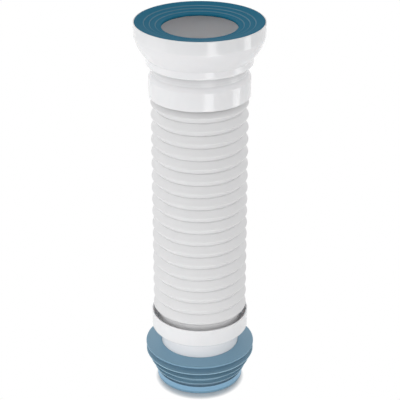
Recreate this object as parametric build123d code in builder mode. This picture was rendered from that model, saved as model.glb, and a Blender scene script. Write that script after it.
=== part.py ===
import os

from build123d import *

# Drain spigot, the straight tube at the lower end
spigot_diameter = 87.3
spigot_wall = 2.6
spigot_length = 62.0

# Open cup of each rigid end, with a ring inside that the tube's cuff sits round
cup_ring_step = 1.15
cup_ring_wall = 2.6
cup_ring_height = 17.0
cup_gap = 0.3
cup_wall = 1.7
drain_cup_depth = 18.4
pan_cup_depth = 19.7
cup_floor = 2.5
cup_corner = 3.0

# Flexible corrugated tube, with a plain cuff at each end
cuff_length = 20.9
corrugation_count = 18
corrugation_pitch = 14.15
corrugation_depth = 5.7
crest_land = 0.9
tube_wall = 1.3

# Rubber drain seal: a sleeve with a top flange, fins that get shorter downwards, and a foot ring
sleeve_wall = 2.6
sleeve_lip = 2.5
flange_height = 43.3
flange_droop = 2.2
flange_reach = 14.85
fin_count = 3
first_fin_reach = 14.65
fin_reach_step = 4.4
fin_edge = 1.5
fin_root = 3.0
foot_ring_gap = 6.6
foot_ring_height = 9.4
foot_ring_reach = 2.15
foot_ring_edge = 1.0

# Pan socket: shoulder of the upper cup, neck, straight foot of the bell, flared cone and rim
shoulder_height = 5.2
shoulder_depth = 3.9
shoulder_bulge = 0.5
neck_height = 9.4
bell_step = 6.3
bell_corner = 3.0
bell_foot_height = 8.6
bell_cone_height = 22.3
bell_cone_bulge = 1.7
bell_wall = 2.2
rim_diameter = 137.0
rim_band_height = 14.5
rim_lip = 1.2
rim_seat_depth = 12.0
rim_seat_width = 1.5

# Rubber pan seal: a skirt in the socket's rim, and a funnel that steps down to a round hole
skirt_wall = 3.0
funnel_wall = 2.4
funnel_drop = 6.5
funnel_band = 9.6
funnel_step_count = 3
funnel_step_height = 0.6
hole_diameter = 79.3
hole_lip = 2.8

# Room between pieces that sit together, and between pieces that move apart
seat_clearance = 0.1
sliding_clearance = 0.3

# Radii, from the spigot outwards and up to the rim
spigot_radius = spigot_diameter / 2
spigot_bore_radius = spigot_radius - spigot_wall
drain_ring_radius = spigot_radius + cup_ring_step
cuff_bore_radius = drain_ring_radius + seat_clearance
cuff_radius = cuff_bore_radius + tube_wall
crest_radius = cuff_radius + corrugation_depth
cup_bore_radius = crest_radius + cup_gap
cup_radius = cup_bore_radius + cup_wall
pan_ring_radius = cuff_bore_radius - sliding_clearance
throat_radius = pan_ring_radius - cup_ring_wall
neck_radius = cup_radius - shoulder_depth
neck_bore_radius = neck_radius - bell_wall
bell_foot_radius = neck_radius + bell_step
bell_bore_radius = bell_foot_radius - bell_wall
rim_radius = rim_diameter / 2
rim_bore_radius = rim_radius - rim_lip
rim_seat_radius = rim_bore_radius - rim_seat_width
sleeve_bore_radius = spigot_radius + seat_clearance
sleeve_radius = sleeve_bore_radius + sleeve_wall
flange_radius = sleeve_radius + flange_reach
foot_ring_radius = sleeve_radius + foot_ring_reach
skirt_radius = rim_bore_radius - seat_clearance
skirt_bore_radius = skirt_radius - skirt_wall
hole_radius = hole_diameter / 2

# Heights above the floor that the foot ring stands on
spigot_end = sleeve_lip
cup_underside = spigot_end + spigot_length
cup_seat = cup_underside + cup_floor
first_valley = cup_seat + cuff_length
last_valley = first_valley + corrugation_count * corrugation_pitch
tube_top = last_valley + cuff_length
cup_roof = tube_top + sliding_clearance
throat_top = cup_roof + cup_floor
neck_bottom = cup_roof + shoulder_height
bell_bottom = neck_bottom + neck_height
bell_floor = bell_bottom + bell_wall
bell_foot_top = bell_bottom + bell_foot_height
rim_band_bottom = bell_foot_top + bell_cone_height
rim_top = rim_band_bottom + rim_band_height
rim_seat = rim_top - rim_seat_depth

os.makedirs("parts", exist_ok=True)


# Corrugated tube: one thin wall that folds out to narrow crests and back to sharp valleys, with the bore alongside
tube_outside = [(cuff_radius, cup_seat)]
for ring in range(corrugation_count):
    valley = first_valley + ring * corrugation_pitch
    crest = valley + corrugation_pitch / 2
    tube_outside.append((cuff_radius, valley))
    tube_outside.append((crest_radius, crest - crest_land / 2))
    tube_outside.append((crest_radius, crest + crest_land / 2))
tube_outside.append((cuff_radius, last_valley))
tube_outside.append((cuff_radius, tube_top))
tube_bore = [(radius - tube_wall, height) for radius, height in reversed(tube_outside)]

with BuildPart() as bellows_tube:
    with BuildSketch(Plane.XZ):
        with BuildLine():
            Polyline(*tube_outside, *tube_bore, close=True)
        make_face()
    revolve(axis=Axis.Z)
bellows_tube.part.label = "bellows_tube"
export_step(bellows_tube.part, "parts/bellows_tube.step")


# Drain spigot: a straight tube that widens at its top into the lower cup, round-cornered underneath
with BuildPart() as drain_spigot:
    with BuildSketch(Plane.XZ):
        with BuildLine():
            Polyline(
                (cup_radius, cup_underside + cup_corner),
                (cup_radius, cup_seat + drain_cup_depth),
                (cup_bore_radius, cup_seat + drain_cup_depth),
                (cup_bore_radius, cup_seat),
                (drain_ring_radius, cup_seat),
                (drain_ring_radius, cup_seat + cup_ring_height),
                (drain_ring_radius - cup_ring_wall, cup_seat + cup_ring_height),
                (spigot_bore_radius, cup_underside),
                (spigot_bore_radius, spigot_end),
                (spigot_radius, spigot_end),
                (spigot_radius, cup_underside),
                (cup_radius - cup_corner, cup_underside),
            )
            RadiusArc(
                (cup_radius - cup_corner, cup_underside),
                (cup_radius, cup_underside + cup_corner),
                -cup_corner,
            )
        make_face()
    revolve(axis=Axis.Z)
drain_spigot.part.label = "drain_spigot"
export_step(drain_spigot.part, "parts/drain_spigot.step")


# Drain seal: tapered fins stand out from the sleeve, and a lip turns in under the spigot's end
fin_pitch = (flange_height - foot_ring_height - foot_ring_gap) / fin_count

fin_outline = []
for fin in range(fin_count):
    fin_top = flange_height - (fin + 1) * fin_pitch
    fin_radius = sleeve_radius + first_fin_reach - fin * fin_reach_step
    fin_outline.append((sleeve_radius, fin_top))
    fin_outline.append((fin_radius, fin_top))
    fin_outline.append((fin_radius, fin_top - fin_edge))
    fin_outline.append((sleeve_radius, fin_top - fin_root))

with BuildPart() as drain_seal:
    with BuildSketch(Plane.XZ):
        with BuildLine():
            Polyline(
                (sleeve_bore_radius, flange_height + flange_droop),
                (flange_radius, flange_height),
                (flange_radius, flange_height - fin_edge),
                (sleeve_radius, flange_height - fin_root),
                *fin_outline,
                (sleeve_radius, foot_ring_height),
                (foot_ring_radius, foot_ring_height),
                (foot_ring_radius, foot_ring_edge),
                (foot_ring_radius - foot_ring_edge, 0),
                (spigot_bore_radius, 0),
                (spigot_bore_radius, spigot_end),
                (sleeve_bore_radius, spigot_end),
                close=True,
            )
        make_face()
    revolve(axis=Axis.Z)
drain_seal.part.label = "drain_seal"
export_step(drain_seal.part, "parts/drain_seal.step")


# Pan socket: the upper cup opens downwards over the tube, and the bell opens upwards with a seat in its rim
with BuildPart() as pan_socket:
    with BuildSketch(Plane.XZ):
        with BuildLine():
            Polyline(
                (cup_radius, cup_roof),
                (cup_radius, cup_roof - pan_cup_depth),
                (cup_bore_radius, cup_roof - pan_cup_depth),
                (cup_bore_radius, cup_roof),
                (pan_ring_radius, cup_roof),
                (pan_ring_radius, cup_roof - cup_ring_height),
                (throat_radius, cup_roof - cup_ring_height),
                (throat_radius, throat_top),
                (neck_bore_radius, throat_top),
                (neck_bore_radius, bell_floor),
                (bell_bore_radius, bell_floor),
                (bell_bore_radius, bell_foot_top),
            )
            SagittaArc((bell_bore_radius, bell_foot_top), (rim_seat_radius, rim_seat), -bell_cone_bulge)
            Polyline(
                (rim_seat_radius, rim_seat),
                (rim_bore_radius, rim_seat),
                (rim_bore_radius, rim_top),
                (rim_radius, rim_top),
                (rim_radius, rim_band_bottom),
            )
            SagittaArc((rim_radius, rim_band_bottom), (bell_foot_radius, bell_foot_top), bell_cone_bulge)
            Line((bell_foot_radius, bell_foot_top), (bell_foot_radius, bell_bottom + bell_corner))
            RadiusArc(
                (bell_foot_radius, bell_bottom + bell_corner),
                (bell_foot_radius - bell_corner, bell_bottom),
                bell_corner,
            )
            Polyline(
                (bell_foot_radius - bell_corner, bell_bottom),
                (neck_radius, bell_bottom),
                (neck_radius, neck_bottom),
            )
            SagittaArc((neck_radius, neck_bottom), (cup_radius, cup_roof), shoulder_bulge)
        make_face()
    revolve(axis=Axis.Z)
pan_socket.part.label = "pan_socket"
export_step(pan_socket.part, "parts/pan_socket.step")


# Pan seal: a plain band inside the rim, then rings that each start one small step below the one before
funnel_slope = funnel_drop / (skirt_radius - hole_radius)
funnel_ring_width = (skirt_radius - funnel_band - hole_radius) / funnel_step_count

funnel_outline = []
for step in range(funnel_step_count):
    step_radius = skirt_radius - funnel_band - step * funnel_ring_width
    step_top = rim_top - funnel_slope * (skirt_radius - step_radius)
    funnel_outline.append((step_radius, step_top))
    funnel_outline.append((step_radius, step_top - funnel_step_height))

with BuildPart() as pan_seal:
    with BuildSketch(Plane.XZ):
        with BuildLine():
            Polyline(
                (skirt_bore_radius, rim_seat),
                (skirt_radius, rim_seat),
                (skirt_radius, rim_top),
                *funnel_outline,
                (hole_radius, rim_top - funnel_drop),
                (hole_radius, rim_top - funnel_drop - hole_lip),
                (skirt_bore_radius, rim_top - funnel_slope * skirt_wall - funnel_wall),
                close=True,
            )
        make_face()
    revolve(axis=Axis.Z)
pan_seal.part.label = "pan_seal"
export_step(pan_seal.part, "parts/pan_seal.step")
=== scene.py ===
# %% [markdown]
# # A flexible toilet pan connector
#
# This lesson dresses a plain CAD model of a pan connector: two rigid white ends, a white corrugated tube
# between them, and a blue rubber seal on each end. Every piece is round about one upright axis, so most
# of the work is drawing good half sections and turning them. The CAD model is loaded first and stays as
# the fixed frame: it says where each piece is and how large it is, and nothing here moves it.

# %% Load the frame
import math

import bpy
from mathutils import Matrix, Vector


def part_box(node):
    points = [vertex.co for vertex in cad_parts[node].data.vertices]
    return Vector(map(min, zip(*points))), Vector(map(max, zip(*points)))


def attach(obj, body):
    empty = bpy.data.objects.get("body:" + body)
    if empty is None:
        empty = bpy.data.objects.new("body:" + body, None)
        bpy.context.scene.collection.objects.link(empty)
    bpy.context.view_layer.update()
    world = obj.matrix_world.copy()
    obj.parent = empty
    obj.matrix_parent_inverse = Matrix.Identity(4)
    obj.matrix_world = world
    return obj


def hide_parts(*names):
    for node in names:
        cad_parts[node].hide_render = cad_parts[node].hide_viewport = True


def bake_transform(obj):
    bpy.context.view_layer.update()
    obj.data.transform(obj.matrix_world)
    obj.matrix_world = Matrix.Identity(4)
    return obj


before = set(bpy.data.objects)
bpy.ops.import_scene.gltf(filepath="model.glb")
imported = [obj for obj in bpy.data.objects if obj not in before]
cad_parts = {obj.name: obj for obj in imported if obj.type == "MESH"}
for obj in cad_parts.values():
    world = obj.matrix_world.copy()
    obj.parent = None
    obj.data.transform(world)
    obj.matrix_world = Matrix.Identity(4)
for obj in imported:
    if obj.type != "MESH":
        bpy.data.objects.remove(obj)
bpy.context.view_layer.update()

# %% [markdown]
# ## The camera
#
# A camera could be placed by eye, but ellipses give it away: a circle of known size at a known height
# shows how steep the view is and how strong the perspective is. Here the rim, the tube's rings and the
# seal's fins were all fitted at once. The lens is long, the camera looks down by a little over a quarter
# of a right angle, and it stands almost straight in front of the part's axis.

# %% Camera
DOWNWARD_TILT = math.radians(25.776)
CAMERA_PLACE = (0.0003, -1.2688, 0.83255)
SENSOR_WIDTH = 36.0
FOCAL_LENGTH = 116.31

camera_data = bpy.data.cameras.new("photo_camera")
camera_data.sensor_width = SENSOR_WIDTH
camera_data.lens = FOCAL_LENGTH
camera = bpy.data.objects.new("photo_camera", camera_data)
camera.location = CAMERA_PLACE
camera.rotation_euler = (math.pi / 2 - DOWNWARD_TILT, 0.0, 0.0)
bpy.context.scene.collection.objects.link(camera)
bpy.context.scene.camera = camera
bpy.context.scene.view_settings.view_transform = "Standard"
print("Field of view in degrees:", round(math.degrees(camera_data.angle), 2))

# %% [markdown]
# ## Node trees as plain arithmetic
#
# Geometry and materials below are both node trees. Wiring nodes one by one is hard to read, so one small
# class wraps an output socket and lets Python's own operators add the Math nodes. Every other kind of
# node comes from one method, which takes the node's type, its settings and what goes into its sockets.

# %% A socket that does arithmetic
class Wire:
    """An output socket of a node tree. Arithmetic on it adds Math nodes to the tree."""

    def __init__(self, tree, socket=None):
        self.tree = tree
        self.socket = socket

    def node(self, kind, settings=None, sockets=None, output=0):
        """Adds a node, sets it up, feeds its sockets with values or wires, and gives back one output."""
        made = self.tree.nodes.new(kind)
        for name, value in (settings or {}).items():
            setattr(made, name, value)
        for key, value in (sockets or {}).items():
            if isinstance(value, Wire):
                self.tree.links.new(value.socket, made.inputs[key])
            else:
                made.inputs[key].default_value = value
        return Wire(self.tree, made.outputs[output] if made.outputs else None)

    def maths(self, operation, *others):
        """Adds a Math node that works on this wire and the others."""
        return self.node("ShaderNodeMath", {"operation": operation}, dict(enumerate((self, *others))))

    def axis(self, letter):
        """The X, Y or Z of a wire that carries a place."""
        return self.node("ShaderNodeSeparateXYZ", sockets={0: self}, output=letter)

    def __add__(self, other):
        return self.maths("ADD", other)

    __radd__ = __add__

    def __mul__(self, other):
        return self.maths("MULTIPLY", other)

    __rmul__ = __mul__

    def __sub__(self, other):
        return self.maths("SUBTRACT", other)

    def __rsub__(self, other):
        return self.maths("MULTIPLY_ADD", -1.0, other)

    def __truediv__(self, other):
        return self.maths("DIVIDE", other)

    def __lt__(self, other):
        return self.maths("LESS_THAN", other)

    def __gt__(self, other):
        return self.maths("GREATER_THAN", other)


print("Wire is ready")

# %% [markdown]
# ## How the finishes are built
#
# Plastic and rubber are never one flat colour, so each finish mixes soft noises into its colour, its
# roughness and its bump. Painted pictures could do that too, but noise needs no files and no unwrapping,
# and it has no seams. The patterns read Object coordinates, in metres, so a scale of 400 means spots of
# about 2.5 mm.

# %% Helpers for the finishes
# The Mix node has like-named sockets for numbers, vectors and colours, so these are the places of its colours
MIX_FIRST_COLOUR = 6
MIX_SECOND_COLOUR = 7
MIX_RESULT_COLOUR = 2


def new_material(name):
    """A material with an empty node tree, and a wire to build on."""
    material = bpy.data.materials.new(name)
    material.use_nodes = True
    material.node_tree.nodes.clear()
    return material, Wire(material.node_tree)


def noise(place, scale, detail=3.0):
    """A soft noise between 0 and 1 at a scale per metre."""
    return place.node("ShaderNodeTexNoise", sockets={"Vector": place, "Scale": scale, "Detail": detail})


def mixed_colour(factor, first, second):
    """A colour that runs from the first to the second as the factor goes from 0 to 1."""
    first, second = (shade if isinstance(shade, Wire) else (*shade, 1.0) for shade in (first, second))
    sockets = {"Factor": factor, MIX_FIRST_COLOUR: first, MIX_SECOND_COLOUR: second}
    return factor.node("ShaderNodeMix", {"data_type": "RGBA"}, sockets, output=MIX_RESULT_COLOUR)


def ramp(value, start, end):
    """Goes from 0 at the start to 1 at the end, and stays level outside."""
    return ((value - start) / (end - start)).maths("MAXIMUM", 0.0).maths("MINIMUM", 1.0)


def radius_of(place):
    """How far a place lies from the part's axis, in metres."""
    level = place.node("ShaderNodeVectorMath", {"operation": "MULTIPLY"}, {0: place, 1: (1.0, 1.0, 0.0)})
    return level.node("ShaderNodeVectorMath", {"operation": "LENGTH"}, {0: level}, output="Value")


def surface(tree, colour, roughness, height, relief, **fixed):
    """Ends the tree: a Principled shader whose bump has a depth of `relief` metres."""
    bump = tree.node("ShaderNodeBump", sockets={"Strength": 1.0, "Distance": relief, "Height": height})
    sockets = {"Base Color": colour, "Roughness": roughness, "Normal": bump, **fixed}
    shader = tree.node("ShaderNodeBsdfPrincipled", sockets=sockets)
    tree.node("ShaderNodeOutputMaterial", sockets={"Surface": shader})


print("Helpers for the finishes are ready")

# %% [markdown]
# ## Finish of the rigid white ends
#
# The two ends are injection moulded in white plastic. Such a skin looks smooth, but it isn't perfect: the
# melt leaves slow waves that bend reflections a little, the mould leaves a very fine grain, and the gloss
# changes slightly from place to place. A single white would look like paper, so the colour, the roughness
# and the bump each get a pattern. The outside of the neck, in the groove under the bell, is painted grey as
# painted shade, darkest right under the bell, and it is a little rougher there. Light enters such plastic a
# little way, which softens its shadows, so it also gets some subsurface scattering.

# %% White end plastic
END_WHITES = (0.805, 0.805, 0.820), (0.830, 0.828, 0.838)
END_ROUGHNESS = 0.08
CLOUD_ROUGHNESS = 0.06
WAVE_SHARE = 0.7
END_GRAIN_SHARE = 0.03
END_RELIEF = 0.00012
NECK_INSIDE = 0.0490
NECK_OUTSIDE = 0.0520
NECK_TOP = 0.3783
# Grey painted on the outside of the neck as painted shade, darkest right under the bell
NECK_SHADE_START = 0.3670
NECK_SHADE_FULL = 0.3760
NECK_SHADE_GREY = (0.600, 0.600, 0.610)
NECK_SHADE_ROUGHNESS = 0.30
LIGHT_THROUGH = {
    "Subsurface Weight": 0.5,
    "Subsurface Radius": (1.0, 0.92, 0.90),
    "Subsurface Scale": 0.003,
}


def painted_neck_shade(height, radius):
    """Where shade is painted: goes from 0 to 1 up the outside of the neck, and is 0 everywhere else."""
    on_neck = (radius > NECK_INSIDE) * (radius < NECK_OUTSIDE) * (height < NECK_TOP)
    return ramp(height, NECK_SHADE_START, NECK_SHADE_FULL) * on_neck


def white_end_plastic():
    """Glossy white plastic with slow waves, and painted shade on the neck."""
    material, tree = new_material("white_end_plastic")
    place = tree.node("ShaderNodeTexCoord", output="Object")
    waves = noise(place, scale=30.0, detail=1.0)
    clouds = noise(place, scale=75.0)
    grain = noise(place, scale=2400.0, detail=2.0)
    neck_shade = painted_neck_shade(place.axis("Z"), radius_of(place))
    colour = mixed_colour(neck_shade, mixed_colour(clouds, *END_WHITES), NECK_SHADE_GREY)
    roughness = clouds * CLOUD_ROUGHNESS + neck_shade * NECK_SHADE_ROUGHNESS + END_ROUGHNESS
    height = waves * WAVE_SHARE + grain * END_GRAIN_SHARE
    surface(tree, colour, roughness, height, END_RELIEF, **LIGHT_THROUGH)
    return material


END_PLASTIC = white_end_plastic()
print("Made", END_PLASTIC.name, "with", len(END_PLASTIC.node_tree.nodes), "nodes")

# %% [markdown]
# ## Finish of the corrugated tube
#
# The tube could share the finish of the ends, but it is blown, not injected, and its plastic is softer.
# It has a satin skin with no clear reflections, so its roughness is much higher and its grain a little
# coarser.

# %% Satin tube plastic
TUBE_WHITES = (0.752, 0.752, 0.760), (0.778, 0.776, 0.780)
TUBE_ROUGHNESS = 0.36
TUBE_CLOUD_ROUGHNESS = 0.10
TUBE_CLOUD_SHARE = 0.4
TUBE_GRAIN_SHARE = 0.06
TUBE_RELIEF = 0.00015


def satin_tube_plastic():
    """Satin white plastic with a fine grain."""
    material, tree = new_material("satin_tube_plastic")
    place = tree.node("ShaderNodeTexCoord", output="Object")
    clouds = noise(place, scale=60.0)
    grain = noise(place, scale=1500.0, detail=2.0)
    colour = mixed_colour(clouds, *TUBE_WHITES)
    roughness = clouds * TUBE_CLOUD_ROUGHNESS + TUBE_ROUGHNESS
    height = clouds * TUBE_CLOUD_SHARE + grain * TUBE_GRAIN_SHARE
    surface(tree, colour, roughness, height, TUBE_RELIEF)
    return material


TUBE_PLASTIC = satin_tube_plastic()
print("Made", TUBE_PLASTIC.name, "with", len(TUBE_PLASTIC.node_tree.nodes), "nodes")

# %% [markdown]
# ## Finish of the two seals
#
# Both seals are moulded rubber in blue, the upper one dark and the lower one paler and greyer. Rubber has
# a fine matte grain and a faint bloom, a lighter haze that lies in patches, so one function makes both
# and takes the base colour and the bloom's colour. A list then names the places that get a colour of
# their own, among them painted highlight, painted light and painted shade.

# %% Seal rubber
BLOOM_IN_PATCHES = 0.6
BLOOM_IN_GRAIN = 0.2
PATCH_ROUGHNESS = 0.15
PATCH_SHARE = 0.3
RUBBER_GRAIN_SHARE = 0.1
RUBBER_RELIEF = 0.0002


def seal_rubber(name, base, bloom, dull, shine, places):
    """Rubber with a bloom, and places of (where it covers, its colour) that are painted over in turn."""
    material, tree = new_material(name)
    place = tree.node("ShaderNodeTexCoord", output="Object")
    patches = noise(place, scale=45.0, detail=4.0)
    grain = noise(place, scale=1800.0, detail=2.0)
    colour = mixed_colour(patches * BLOOM_IN_PATCHES + grain * BLOOM_IN_GRAIN, base, bloom)
    height = place.axis("Z")
    radius = radius_of(place)
    for covered, own_colour in places:
        colour = mixed_colour(covered(height, radius), colour, own_colour)
    roughness = patches * PATCH_ROUGHNESS + dull
    skin = patches * PATCH_SHARE + grain * RUBBER_GRAIN_SHARE
    surface(tree, colour, roughness, skin, RUBBER_RELIEF, **{"Specular IOR Level": shine})
    return material


print("Seal rubber is ready")

# %% [markdown]
# On the upper seal, the edges of the small steps are painted pale, as a painted highlight. The steps lie at
# even distances, so rounding a point's distance to the nearest whole step tells how far it is from an edge.

# %% Dark rubber of the pan seal
DARK_BLUES = (0.011, 0.140, 0.236), (0.022, 0.164, 0.266)
# The paler blue is a painted highlight on the edges of the steps
STEP_HIGHLIGHT_BLUE = (0.125, 0.248, 0.330)
FIRST_STEP = 0.0576
STEP_WIDTH = 0.00598
STEP_HIGHLIGHT_WIDTH = 0.0008
BEFORE_FIRST_STEP = -0.4
AFTER_LAST_STEP = 2.4


def step_edge_highlight(height, radius):
    """Is 1 on the edges of the three steps of the upper seal, where a highlight is painted."""
    steps_in = (FIRST_STEP - radius) / STEP_WIDTH
    from_edge = (steps_in - steps_in.maths("ROUND")).maths("ABSOLUTE") * STEP_WIDTH
    among_steps = (steps_in > BEFORE_FIRST_STEP) * (steps_in < AFTER_LAST_STEP)
    return ramp(from_edge, STEP_HIGHLIGHT_WIDTH, 0.0) * among_steps


PAN_PLACES = [(step_edge_highlight, STEP_HIGHLIGHT_BLUE)]
PAN_RUBBER = seal_rubber("dark_seal_rubber", *DARK_BLUES, dull=0.50, shine=0.04, places=PAN_PLACES)
print("Made", PAN_RUBBER.name, "with", len(PAN_RUBBER.node_tree.nodes), "nodes")

# %% [markdown]
# On the lower seal, the fins are painted paler than the rest, as painted light in the shaded gaps between
# them: the first fin the palest, the fins below it less pale, as painted shade. The groove above the foot
# ring is painted dark as painted shade. The foot ring is painted a brighter, clearer blue, and the strip
# along its bottom edge keeps the darker base blue as painted shade. Each of these places is a band between
# two heights, so one helper fades a band in and out, and the list gives every band its colour.

# %% Pale rubber of the drain seal
GREY_BLUES = (0.191, 0.346, 0.466), (0.213, 0.377, 0.503)
# The fins are painted paler as painted light, and the lower fins less so, as painted shade
FIN_LIGHT_BLUE = (0.335, 0.520, 0.635)
LOWER_FIN_SHADE_BLUE = (0.262, 0.416, 0.515)
# The groove above the foot ring is painted dark as painted shade
GROOVE_SHADE_BLUE = (0.130, 0.215, 0.290)
FOOT_RING_BLUE = (0.262, 0.468, 0.645)
FLANGE_EDGE = 0.0405
FIRST_FIN = 0.0360
FIRST_FIN_EDGE = 0.0330
GROOVE_TOP = 0.0120
FOOT_TOP = 0.0092
# Below this height the foot ring keeps the darker base blue as painted shade
FOOT_BOTTOM = 0.0028
BAND_FADE = 0.0008


def band(bottom_start, bottom_full, top_full, top_end):
    """A place that fades in over the two lower heights and out over the two upper ones."""

    def covered(height, radius):
        return ramp(height, top_end, top_full) * ramp(height, bottom_start, bottom_full)

    return covered


ABOVE_FOOT = (FOOT_TOP - BAND_FADE, FOOT_TOP)
DRAIN_PLACES = [
    (band(*ABOVE_FOOT, FIRST_FIN, FLANGE_EDGE), FIN_LIGHT_BLUE),
    (band(*ABOVE_FOOT, FIRST_FIN_EDGE - BAND_FADE, FIRST_FIN_EDGE), LOWER_FIN_SHADE_BLUE),
    (band(*ABOVE_FOOT, GROOVE_TOP - BAND_FADE, GROOVE_TOP), GROOVE_SHADE_BLUE),
    (band(FOOT_BOTTOM, FOOT_BOTTOM + BAND_FADE, *ABOVE_FOOT), FOOT_RING_BLUE),
]
DRAIN_RUBBER = seal_rubber("pale_seal_rubber", *GREY_BLUES, dull=0.36, shine=0.45, places=DRAIN_PLACES)
print("Made", DRAIN_RUBBER.name, "with", len(DRAIN_PLACES), "bands of its own colour")

# %% [markdown]
# ## Turning a half section
#
# A turned piece could be made with Blender's Screw modifier, but then its corners stay sharp or need a
# bevel that is hard to aim. Here the half section is written as corners, each with its own rounding, and
# the rounding is drawn as an arc before the turn. Smooth shading blurs a long flat next to a small arc,
# so each flat also gets a point close to either end, which keeps its shading flat.

# %% Outlines with round corners
ARC_STEPS = 5
LARGEST_SHARE = 0.45
SUPPORT_INSET = 0.35
SUPPORT_MIN_LENGTH = 3.0


def swung(first, last, share):
    """A spoke of an arc's centre, turned by a share of the way from its first to its last."""
    return first.slerp(last, share).normalized() * first.length


def rounded(corners):
    """A closed outline in millimetres from corners of (radius, height, rounding)."""
    outline = []
    for index, (radius, height, rounding) in enumerate(corners):
        here = Vector((radius, height))
        if not rounding:
            outline.append(here)
            continue
        back = Vector(corners[index - 1][:2]) - here
        ahead = Vector(corners[(index + 1) % len(corners)][:2]) - here
        half_angle = back.angle(ahead) / 2
        room = LARGEST_SHARE * min(back.length, ahead.length)
        reach = min(rounding / math.tan(half_angle), room)
        back.normalize()
        ahead.normalize()
        centre = here + (back + ahead).normalized() * reach / math.cos(half_angle)
        first = here + back * reach - centre
        last = here + ahead * reach - centre
        outline += [centre + swung(first, last, step / ARC_STEPS) for step in range(ARC_STEPS + 1)]
    return outline


def supported(outline):
    """The outline with a point close to each end of every long flat."""
    points = []
    for index, start in enumerate(outline):
        stretch = outline[(index + 1) % len(outline)] - start
        points.append(start)
        if stretch.length > SUPPORT_MIN_LENGTH:
            inset = stretch.normalized() * SUPPORT_INSET
            points += [start + inset, start + stretch - inset]
    return points


def bulged(start, end, bulge, steps=10):
    """Corners between two points of (radius, height), on an arc that leaves their chord by `bulge`."""
    start = Vector(start)
    end = Vector(end)
    chord = end - start
    side = Vector((-chord.y, chord.x)).normalized()
    half = chord.length / 2
    radius = (half * half + bulge * bulge) / (2 * abs(bulge))
    centre = start + chord / 2 + side * (bulge - math.copysign(radius, bulge))
    return [(*(centre + swung(start - centre, end - centre, step / steps)), 0) for step in range(1, steps)]


square = [(10, 0, 2), (30, 0, 2), (30, 20, 2), (10, 20, 2)]
print("A square with round corners becomes", len(supported(rounded(square))), "points")

# %% [markdown]
# The outline is then copied round the axis, and faces join each copy to the next one. The last copy joins
# the first, so no seam is left open. Every piece keeps the frame's origin, and its place is in its mesh.

# %% Turning
MM = 0.001
TURN_SEGMENTS = 160


def piece_from(name, vertices, faces, material):
    """A smooth mesh object in the scene, with its place in its mesh."""
    mesh = bpy.data.meshes.new(name)
    mesh.from_pydata(vertices, [], faces)
    mesh.polygons.foreach_set("use_smooth", [True] * len(mesh.polygons))
    mesh.materials.append(material)
    made = bpy.data.objects.new(name, mesh)
    bpy.context.scene.collection.objects.link(made)
    return made


def turned(name, corners, material):
    """A closed turned solid. The corners run anticlockwise round its half section, right of the axis."""
    outline = supported(rounded(corners))
    rows = len(outline)
    vertices = []
    for turn in range(TURN_SEGMENTS):
        angle = math.tau * turn / TURN_SEGMENTS
        east = math.cos(angle) * MM
        north = math.sin(angle) * MM
        vertices += [(point.x * east, point.x * north, point.y * MM) for point in outline]
    faces = []
    for turn in range(TURN_SEGMENTS):
        near = turn * rows
        far = (turn + 1) % TURN_SEGMENTS * rows
        for row in range(rows):
            above = (row + 1) % rows
            faces.append((near + row, far + row, far + above, near + above))
    made = piece_from(name, vertices, faces, material)
    print(name, "has", rows, "outline points and", 2 * len(faces), "triangles")
    return made


def dressed(piece, node, body):
    """The piece stands for a CAD node, which is hidden, and rides on its body."""
    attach(piece, body)
    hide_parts(node)


print("A turn has", TURN_SEGMENTS, "segments of", 360 / TURN_SEGMENTS, "degrees")

# %% [markdown]
# ## The pan socket
#
# The upper end of the connector. From the top down it has a straight rim band, a bell that curves in, the
# bell's straight foot with a round lower edge, a neck in the foot's shadow, a sloping shoulder, and a
# collar that hangs over the tube like an open cup. Inside, a ring hangs from the roof of the cup, and the
# tube's cuff slides over it. The outer sizes come from the CAD frame, and the others are measured down
# from the rim.

# %% Sizes of the pan socket
socket_low, socket_high = (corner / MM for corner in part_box("pan_socket"))
seal_low, seal_high = (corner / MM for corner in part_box("pan_seal"))
spigot_low, spigot_high = (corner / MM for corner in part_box("drain_spigot"))
seat_clearance = 0.1
seat_width = 1.5
seal_stands_out = 0.42
rim_band_height = 14.5
bell_cone_height = 22.3
bell_foot_height = 8.6
bell_step = 6.3
bell_wall = 2.2
bell_bulge = 1.7
bell_corner = 3.0
neck_height = 9.4
shoulder_height = 5.2
shoulder_depth = 3.9
shoulder_bulge = 0.5
shoulder_steps = 6
cup_wall = 1.7
cup_floor = 2.5
cup_ring_height = 17.0
ring_radius = 44.6
throat_radius = 42.0

rim_radius = socket_high.x
rim_top = socket_high.z
rim_bore = seal_high.x + seat_clearance
rim_seat = seal_low.z
seat_radius = rim_bore - seat_width
lip_top = rim_top - seal_stands_out
band_bottom = rim_top - rim_band_height
foot_top = band_bottom - bell_cone_height
bell_bottom = foot_top - bell_foot_height
bell_floor = bell_bottom + bell_wall
neck_bottom = bell_bottom - neck_height
collar_top = neck_bottom - shoulder_height
collar_bottom = socket_low.z
collar_radius = spigot_high.x
collar_bore = collar_radius - cup_wall
neck_radius = collar_radius - shoulder_depth
neck_bore = neck_radius - bell_wall
foot_radius = neck_radius + bell_step
foot_bore = foot_radius - bell_wall
ring_bottom = collar_top - cup_ring_height
throat_top = collar_top + cup_floor
print("The socket runs from", round(collar_bottom, 1), "to", round(rim_top, 1), "mm above the floor")

# %% [markdown]
# The half section runs up the outside, from the collar to the rim, and back down the inside. Each corner
# gives a radius, a height and a rounding. The shoulder and the bell are bulged, as on the real moulding.

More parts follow.
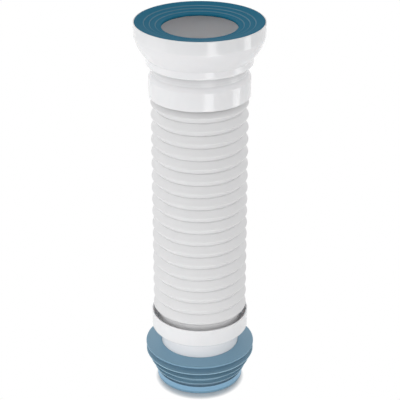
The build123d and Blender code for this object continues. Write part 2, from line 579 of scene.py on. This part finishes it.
# %% Pan socket
socket_corners = [
    (collar_radius, collar_bottom, 0.5),
    (collar_radius, collar_top, 0.8),
    *bulged((collar_radius, collar_top), (neck_radius, neck_bottom), -shoulder_bulge, shoulder_steps),
    (neck_radius, neck_bottom, 1.2),
    (neck_radius, bell_bottom, 0.6),
    (foot_radius, bell_bottom, bell_corner),
    (foot_radius, foot_top, 0.8),
    *bulged((foot_radius, foot_top), (rim_radius, band_bottom), -bell_bulge),
    (rim_radius, band_bottom, 1.0),
    (rim_radius, lip_top, 0.5),
    (rim_bore, lip_top, 0.3),
    (rim_bore, rim_seat, 0.2),
    (seat_radius, rim_seat, 0.3),
    *bulged((seat_radius, rim_seat), (foot_bore, foot_top), bell_bulge),
    (foot_bore, foot_top, 0.5),
    (foot_bore, bell_floor, 0.8),
    (neck_bore, bell_floor, 0.6),
    (neck_bore, throat_top, 0.6),
    (throat_radius, throat_top, 0.6),
    (throat_radius, ring_bottom, 0.4),
    (ring_radius, ring_bottom, 0.4),
    (ring_radius, collar_top, 0.3),
    (collar_bore, collar_top, 0.3),
    (collar_bore, collar_bottom, 0.5),
]
pan_socket = turned("pan_socket_shell", socket_corners, END_PLASTIC)
dressed(pan_socket, "pan_socket", "pan_end")

# %% [markdown]
# ## The pan seal
#
# A rubber moulding in the mouth of the bell. Its skirt sits on a small seat inside the rim and stands a
# little proud of it, which hides the white edge behind a thin blue line. Its face is a shallow funnel: a
# plain band first, then rings that each start one small step lower, down to a round hole with a soft lip
# that stretches round the pan's outlet. The steps repeat, so a loop writes them.

# %% Pan seal
skirt_wall = 3.0
hole_radius = 39.65
hole_lip = 2.8
face_drop = 5.7
face_band = 9.6
face_wall = 2.4
step_count = 3
step_height = 0.6
step_lean = 0.2

skirt_radius = seal_high.x
skirt_bore = skirt_radius - skirt_wall
hole_top = rim_top - face_drop
face_slope = face_drop / (skirt_radius - hole_radius)
step_width = (skirt_radius - face_band - hole_radius) / step_count

funnel_corners = []
for step in range(step_count):
    step_radius = skirt_radius - face_band - step * step_width
    step_top = rim_top - face_slope * (skirt_radius - step_radius)
    funnel_corners.append((step_radius, step_top, 0.5))
    funnel_corners.append((step_radius - step_lean, step_top - step_height, 0.4))

seal_corners = [
    (skirt_radius, rim_seat, 0.4),
    (skirt_radius, rim_top, 0.5),
    *funnel_corners,
    (hole_radius, hole_top, 0.9),
    (hole_radius, hole_top - hole_lip, 0.9),
    (skirt_bore, rim_top - face_slope * skirt_wall - face_wall, 1.0),
    (skirt_bore, rim_seat, 0.4),
]
pan_seal = turned("pan_seal_face", seal_corners, PAN_RUBBER)
dressed(pan_seal, "pan_seal", "pan_end")

# %% [markdown]
# ## The corrugated tube
#
# One thin wall folds out to narrow crests and back to sharp valleys, ring after ring. The rings could be
# turned like the other pieces, but they follow a rule, so Geometry Nodes can make the whole wall: a flat
# grid is rolled up, and its rows run up the outside and back down the bore. The rule comes first. Within
# a ring the rows lie closer together near the crest and the valley. The wall falls away from the crest
# along a hyperbola, which is round at its tip and soon as straight as the real fold. The real tube is
# folded so tightly that each valley ends in a fine crease, which shows as a thin dark line, so the rows
# near the valley are pushed in, and the valley itself the most. The first and the last level are the ends
# of the plain cuffs.

# %% Rule of the folds
PINCH_START = 0.70
# Keeps a whole number of rings from falling to the number below through a rounding error
RING_GUARD = 0.001


def hyperbola(run, softness):
    """Is 0 at the start, bends softly, and soon rises as a straight line."""
    return (run * run + softness * softness).maths("SQRT") - softness


def folded_wall(size, level, levels, in_bore):
    """The height and the radius of the wall at a level, counted from the lower cuff to the upper one."""
    climb = (level - 1) / size["Rows Per Ring"]
    ring = (climb + RING_GUARD).maths("FLOOR")
    swing = (climb - ring) * 2 - 1
    share = swing.maths("ABSOLUTE")
    half_pitch = size["Pitch"] * 0.5
    from_crest = share * share * (3 - share * 2) * half_pitch
    ring_height = size["First Valley"] + (ring + 0.5) * size["Pitch"] + from_crest * swing.maths("SIGN")
    softness = size["Crest Softness"]
    fallen = hyperbola(from_crest, softness) / hyperbola(half_pitch, softness)

    at_bottom = level < 0.5
    at_top = level > levels - 1.5
    on_ring = 1 - at_bottom - at_top
    pinch = ramp(share, PINCH_START, 1.0)
    reach = (1 - fallen) * size["Depth"] * on_ring
    crease = pinch * pinch * size["Crease"] * on_ring * (1 - in_bore)
    height = ring_height * on_ring + size["Bottom"] * at_bottom + size["Top"] * at_top
    radius = size["Valley Radius"] + reach - size["Wall"] * in_bore - crease
    return height, radius


print("The crease starts", PINCH_START, "of the way from a crest to a valley")

# %% [markdown]
# The tree makes the flat grid, asks the rule for every row's height and radius, and rolls the grid up.
# Edges that fold sharply stay sharp, because smooth shading across a valley would draw a bright line
# where the tube is darkest. The wall has one level for every row of every ring, and three more: the last
# valley and the ends of the two cuffs.

# %% Tree for the corrugated wall
WALL_INPUTS = {
    "Rings": "Int",
    "Rows Per Ring": "Int",
    "Segments": "Int",
    "Pitch": "Float",
    "First Valley": "Float",
    "Valley Radius": "Float",
    "Depth": "Float",
    "Crest Softness": "Float",
    "Crease": "Float",
    "Wall": "Float",
    "Bottom": "Float",
    "Top": "Float",
    "Finish": "Material",
}
EXTRA_LEVELS = 3
MERGE_DISTANCE = 1e-6
SHARP_FOLD = math.radians(40)


def wall_tree():
    """A Geometry Nodes tree that rolls up the whole wall from its named sizes."""
    tree = bpy.data.node_groups.new("corrugated_wall", "GeometryNodeTree")
    for name, kind in WALL_INPUTS.items():
        tree.interface.new_socket(name=name, in_out="INPUT", socket_type="NodeSocket" + kind)
    tree.interface.new_socket(name="Mesh", in_out="OUTPUT", socket_type="NodeSocketGeometry")
    entry = tree.nodes.new("NodeGroupInput")
    size = {name: Wire(tree, entry.outputs[name]) for name in WALL_INPUTS}
    build = Wire(tree)

    levels = size["Rings"] * size["Rows Per Ring"] + EXTRA_LEVELS
    rows = levels * 2
    sockets = {"Size X": 1.0, "Size Y": 1.0, "Vertices X": size["Segments"] + 1, "Vertices Y": rows + 1}
    grid = build.node("GeometryNodeMeshGrid", sockets=sockets)
    flat_place = build.node("GeometryNodeInputPosition")
    turn = (flat_place.axis("X") + 0.5) * math.tau
    row = ((flat_place.axis("Y") + 0.5) * rows).maths("ROUND").maths("MODULO", rows)
    in_bore = row > levels - 0.5
    level = row * (1 - in_bore) + (rows - 1 - row) * in_bore
    height, radius = folded_wall(size, level, levels, in_bore)

    sockets = {"X": turn.maths("COSINE") * radius, "Y": turn.maths("SINE") * radius, "Z": height}
    place = build.node("ShaderNodeCombineXYZ", sockets=sockets)
    rolled = build.node("GeometryNodeSetPosition", sockets={"Geometry": grid, "Position": place})
    sockets = {"Geometry": rolled, "Distance": MERGE_DISTANCE}
    closed = build.node("GeometryNodeMergeByDistance", sockets=sockets)
    smooth = build.node("GeometryNodeSetShadeSmooth", sockets={0: closed})
    fold = build.node("GeometryNodeInputMeshEdgeAngle")
    sockets = {0: smooth, "Selection": fold > SHARP_FOLD, "Shade Smooth": False}
    folded = build.node("GeometryNodeSetShadeSmooth", {"domain": "EDGE"}, sockets)
    real = build.node("GeometryNodeRealizeInstances", sockets={0: folded})
    finished = build.node("GeometryNodeSetMaterial", sockets={"Geometry": real, "Material": size["Finish"]})
    build.node("NodeGroupOutput", sockets={"Mesh": finished})
    return tree


corrugated_wall = wall_tree()
print("Tree", corrugated_wall.name, "has", len(corrugated_wall.nodes), "nodes")

# %% [markdown]
# The tree's inputs are set by the identifier of each socket, before the object is evaluated for the first
# time. The result is then taken as a plain mesh.

# %% Corrugated tube
tube_low, tube_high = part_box("bellows_tube")
ring_count = 18
cuff_length = 20.9 * MM
ring_depth = 5.7 * MM
first_valley = tube_low.z + cuff_length
ring_span = tube_high.z - tube_low.z - 2 * cuff_length
ring_pitch = ring_span / ring_count

wall_sizes = {
    "Rings": ring_count,
    "Rows Per Ring": 16,
    "Segments": 144,
    "Pitch": ring_pitch,
    "First Valley": first_valley,
    "Valley Radius": tube_high.x - ring_depth,
    "Depth": ring_depth,
    "Crest Softness": 0.6 * MM,
    "Crease": 1.15 * MM,
    "Wall": 1.3 * MM,
    "Bottom": tube_low.z,
    "Top": tube_high.z,
    "Finish": TUBE_PLASTIC,
}
bellows = piece_from("bellows_wall", [], [], TUBE_PLASTIC)
roller = bellows.modifiers.new("corrugated_wall", "NODES")
roller.node_group = corrugated_wall
for socket in corrugated_wall.interface.items_tree:
    if socket.in_out == "INPUT":
        roller[socket.identifier] = wall_sizes[socket.name]
shown = bellows.evaluated_get(bpy.context.evaluated_depsgraph_get())
bellows.data = bpy.data.meshes.new_from_object(shown)
bellows.modifiers.remove(roller)
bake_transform(bellows)
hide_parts("bellows_tube")
print("bellows_wall has", len(bellows.data.polygons), "faces over", ring_count, "rings")

# %% [markdown]
# The lowest ring has no lower slope. It ends in a sharp lip just above the lower cup, and the lip hides
# the fold behind it, so the gap below is an even grey. A different last ring would spoil the tree's rule,
# so the lip is turned as a small ring of its own. Its two inner corners, its roots, lie inside the tube's
# wall, where they don't show.

# %% Lip of the lowest ring
lip_height = 1.9
lip_inset = 0.05
lip_rounding = 0.3
lower_root_depth = 2.6
lower_root_drop = 0.8
upper_root_depth = 1.0
upper_root_drop = 0.4

crest_radius = tube_high.x / MM
lowest_crest = (first_valley + ring_pitch / 2) / MM
lip_radius = crest_radius - lip_inset
lip_edge = lowest_crest - lip_height
lip_corners = [
    (crest_radius - lower_root_depth, lip_edge - lower_root_drop, 0),
    (lip_radius, lip_edge, lip_rounding),
    (lip_radius, lowest_crest, 0),
    (crest_radius - upper_root_depth, lowest_crest - upper_root_drop, 0),
]
tube_lip = turned("tube_end_lip", lip_corners, TUBE_PLASTIC)
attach(tube_lip, "drain_end")

# %% [markdown]
# ## The drain spigot
#
# The lower white end: an open cup that the tube's cuff stands in, with a round corner underneath, and a
# straight spigot that goes down inside the seal. The gap between the cup's wall and the cuff stays open,
# and the dark ring that it makes is a strong mark of this object, so the wall is turned with its true
# thickness.

# %% Drain spigot
cup_corner = 3.0
spigot_radius = 43.65
spigot_wall = 2.6
inner_ring_radius = 44.8
inner_ring_wall = 2.6

cup_radius = spigot_high.x
cup_bore = cup_radius - cup_wall
cup_top = spigot_high.z
cup_seat = tube_low.z / MM
cup_underside = cup_seat - cup_floor
spigot_end = spigot_low.z
spigot_bore = spigot_radius - spigot_wall
inner_ring_bore = inner_ring_radius - inner_ring_wall
inner_ring_top = cup_seat + cup_ring_height

spigot_corners = [
    (spigot_radius, spigot_end, 0.4),
    (spigot_radius, cup_underside, 0.8),
    (cup_radius, cup_underside, cup_corner),
    (cup_radius, cup_top, 0.6),
    (cup_bore, cup_top, 0.5),
    (cup_bore, cup_seat, 0.3),
    (inner_ring_radius, cup_seat, 0.3),
    (inner_ring_radius, inner_ring_top, 0.5),
    (inner_ring_bore, inner_ring_top, 0.5),
    (spigot_bore, cup_underside, 0.5),
    (spigot_bore, spigot_end, 0.4),
]
drain_spigot = turned("drain_spigot_cup", spigot_corners, END_PLASTIC)
dressed(drain_spigot, "drain_spigot", "drain_end")

# %% [markdown]
# ## The drain seal
#
# A rubber sleeve round the spigot with a wide drooping flange, three fins that get shorter downwards and
# thin towards their edges, and a foot ring that the connector stands on. The rounded edges of the fins
# catch thin lines of light, so they need real geometry. The fins repeat, so a loop writes their corners.

# %% Drain seal
drain_low, drain_high = (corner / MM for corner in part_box("drain_seal"))
sleeve_wall = 2.6
flange_droop = 2.2
flange_thickness = 1.5
fin_count = 3
fin_pitch = 9.1
fin_inset = 0.2
fin_radius_step = 4.4
fin_edge = 0.9
fin_root = 3.0
fin_rounding = 0.4
root_rounding = 0.8
foot_ring_height = 9.4
foot_ring_reach = 2.15
foot_ring_edge = 1.0

foot = drain_low.z
flange_radius = drain_high.x
sleeve_top = drain_high.z
flange_edge = sleeve_top - flange_droop
sleeve_bore = spigot_radius + seat_clearance
sleeve_radius = sleeve_bore + sleeve_wall
foot_ring_radius = sleeve_radius + foot_ring_reach

fin_corners = []
for fin in reversed(range(fin_count)):
    fin_top = flange_edge - (fin + 1) * fin_pitch
    fin_radius = flange_radius - fin_inset - fin * fin_radius_step
    fin_corners.append((sleeve_radius, fin_top - fin_root, root_rounding))
    fin_corners.append((fin_radius, fin_top - fin_edge, fin_rounding))
    fin_corners.append((fin_radius, fin_top, fin_rounding))
    fin_corners.append((sleeve_radius, fin_top, root_rounding))

drain_corners = [
    (spigot_bore, foot, 0.5),
    (foot_ring_radius - foot_ring_edge, foot, 0.4),
    (foot_ring_radius, foot + foot_ring_edge, 0.5),
    (foot_ring_radius, foot + foot_ring_height, 0.6),
    (sleeve_radius, foot + foot_ring_height, 0.6),
    *fin_corners,
    (sleeve_radius, flange_edge - fin_root, root_rounding),
    (flange_radius, flange_edge - flange_thickness, 0.6),
    (flange_radius, flange_edge, 0.6),
    (sleeve_bore, sleeve_top, 0.5),
    (sleeve_bore, spigot_end, 0.3),
    (spigot_bore, spigot_end, 0.3),
]
drain_seal = turned("drain_seal_fins", drain_corners, DRAIN_RUBBER)
dressed(drain_seal, "drain_seal", "drain_end")

# %% [markdown]
# ## Floor
#
# The floor is white to the camera but keeps the object's contact shadow. More light would burn out the
# white plastic, so the floor gets a glow that only the camera and mirror-like rays see. Right at the foot
# there is no glow, and the paint shows the room's own light and the shadow. The white room leaves that
# shadow too pale, so the paint that the camera sees there is a little darker than the paint that lights
# the object. Less than a finger's breadth further out the glow is a full white. The disc without glow
# lies a little to the front, where the shadow falls.

# %% White floor
WHITE = (1.0, 1.0, 1.0, 1.0)
FLOOR_PAINT = (0.88, 0.88, 0.88, 1.0)
SHADOW_PAINT = (0.72, 0.73, 0.74, 1.0)
SHADOW_SHIFT = (0.0, 0.009, 0.0)
FOOT_REACH = 0.0420
WHITE_REACH = 0.0508
FLOOR_HALF = 6.0


def looked_at(tree):
    """Is 1 for the camera's own rays, and for rays that a glossy or a clear surface sends on."""
    direct = tree.node("ShaderNodeLightPath", output="Is Camera Ray")
    mirrored = tree.node("ShaderNodeLightPath", output="Is Glossy Ray")
    through = tree.node("ShaderNodeLightPath", output="Is Transmission Ray")
    return direct.maths("MAXIMUM", mirrored).maths("MAXIMUM", through)


def studio_floor():
    """Plain paint for the light, and for the camera darker paint at the foot that turns into a white glow."""
    material, tree = new_material("studio_floor")
    place = tree.node("ShaderNodeTexCoord", output="Object")
    shifted = tree.node("ShaderNodeVectorMath", {"operation": "ADD"}, {0: place, 1: SHADOW_SHIFT})
    away = ramp(radius_of(shifted), FOOT_REACH, WHITE_REACH)
    paint = tree.node("ShaderNodeBsdfDiffuse", sockets={"Color": FLOOR_PAINT})
    shaded = tree.node("ShaderNodeBsdfDiffuse", sockets={"Color": SHADOW_PAINT})
    glow = tree.node("ShaderNodeEmission", sockets={"Color": WHITE, "Strength": 1.0})
    seen_floor = tree.node("ShaderNodeMixShader", sockets={0: away * away, 1: shaded, 2: glow})
    floor_shader = tree.node("ShaderNodeMixShader", sockets={0: looked_at(tree), 1: paint, 2: seen_floor})
    tree.node("ShaderNodeOutputMaterial", sockets={"Surface": floor_shader})
    return material


floor_corners = [(x * FLOOR_HALF, y * FLOOR_HALF, 0.0) for x, y in ((-1, -1), (1, -1), (1, 1), (-1, 1))]
floor = piece_from("studio_floor", floor_corners, [(0, 1, 2, 3)], studio_floor())
print("Floor is", 2 * FLOOR_HALF, "m across")

# %% [markdown]
# ## Light
#
# The folds tell where the light comes from. The lower side of every ring is a little brighter than its
# upper side, so the light is low. A softbox stands on the right, a small one stands close in front of the
# foot, and a panel on the floor lights the folds from below. The small softbox and the panel would show
# as patches in the glossy ends, so they only give light. Three long cards on the floor do the opposite:
# they give no light of their own, and the upright walls of the rim, the collar and the cup mirror them as
# soft upright bars. No lamp is seen by the camera.

# %% Lamps
PANEL_HEIGHT = 0.004


def area_lamp(name, place, rotation, width, length, power):
    """A flat rectangular lamp that the camera doesn't see."""
    lamp = bpy.data.lights.new(name, "AREA")
    lamp.shape = "RECTANGLE"
    lamp.size = width
    lamp.size_y = length
    lamp.energy = power
    made = bpy.data.objects.new(name, lamp)
    made.location = place
    made.rotation_euler = rotation
    made.visible_camera = False
    bpy.context.scene.collection.objects.link(made)
    return made


def softbox(name, side, distance, width, height, power):
    """An upright lamp on the floor that faces the object, `side` degrees to the right of the camera."""
    turn = math.radians(side)
    place = (math.sin(turn) * distance, -math.cos(turn) * distance, height / 2)
    return area_lamp(name, place, (math.pi / 2, 0, turn), width, height, power)


def panel(name, side, near, far, width, power):
    """A lamp flat on the floor that faces up and runs outwards from the object."""
    turn = math.radians(side)
    middle = (near + far) / 2
    place = (math.sin(turn) * middle, -math.cos(turn) * middle, PANEL_HEIGHT)
    return area_lamp(name, place, (math.pi, 0, turn), width, far - near, power)


softbox("right_softbox", side=95, distance=1.35, width=0.60, height=1.00, power=0.4)
left_panel = panel("left_panel", side=-40, near=0.16, far=1.00, width=0.70, power=0.90)
near_softbox = softbox("near_softbox", side=5, distance=0.30, width=0.40, height=0.10, power=0.075)
left_card = panel("left_card", side=-78, near=1.05, far=1.80, width=0.90, power=1.6)
middle_card = panel("middle_card", side=20, near=0.40, far=1.80, width=0.34, power=4.4)
right_card = panel("right_card", side=88, near=0.60, far=1.80, width=0.32, power=3.2)
for lamp in (left_panel, near_softbox):
    lamp.visible_glossy = False
for card in (left_card, middle_card, right_card):
    card.visible_diffuse = False

# %% [markdown]
# The room round the floor is white, with a ceiling that is dimmer than its walls, and its walls are
# dimmer on the right than on the left. A room could be built from planes, but the object only needs its
# light, so it is the world's background. The camera and its mirrored rays see a plain white in its place.

# %% White room
WALL_LIGHT = 1.32
CEILING_LIGHT = 0.45
WALL_TOP = 0.55
WALL_FADE = 0.15
RIGHT_SHADE = 0.30

world = bpy.data.worlds.new("studio_room")
bpy.context.scene.world = world
world.use_nodes = True
world.node_tree.nodes.clear()
room = Wire(world.node_tree)
direction = room.node("ShaderNodeTexCoord", output="Generated")
wall = ramp(direction.axis("Z"), WALL_TOP + WALL_FADE, WALL_TOP - WALL_FADE)
shade = 1 - direction.axis("X") * RIGHT_SHADE
room_light = wall * shade * (WALL_LIGHT - CEILING_LIGHT) + CEILING_LIGHT
lighting = room.node("ShaderNodeBackground", sockets={"Color": WHITE, "Strength": room_light})
backdrop = room.node("ShaderNodeBackground", sockets={"Color": WHITE, "Strength": 1.0})
seen_room = room.node("ShaderNodeMixShader", sockets={0: looked_at(room), 1: lighting, 2: backdrop})
room.node("ShaderNodeOutputWorld", sockets={"Surface": seen_room})
print("Room", world.name, "has", len(world.node_tree.nodes), "nodes")
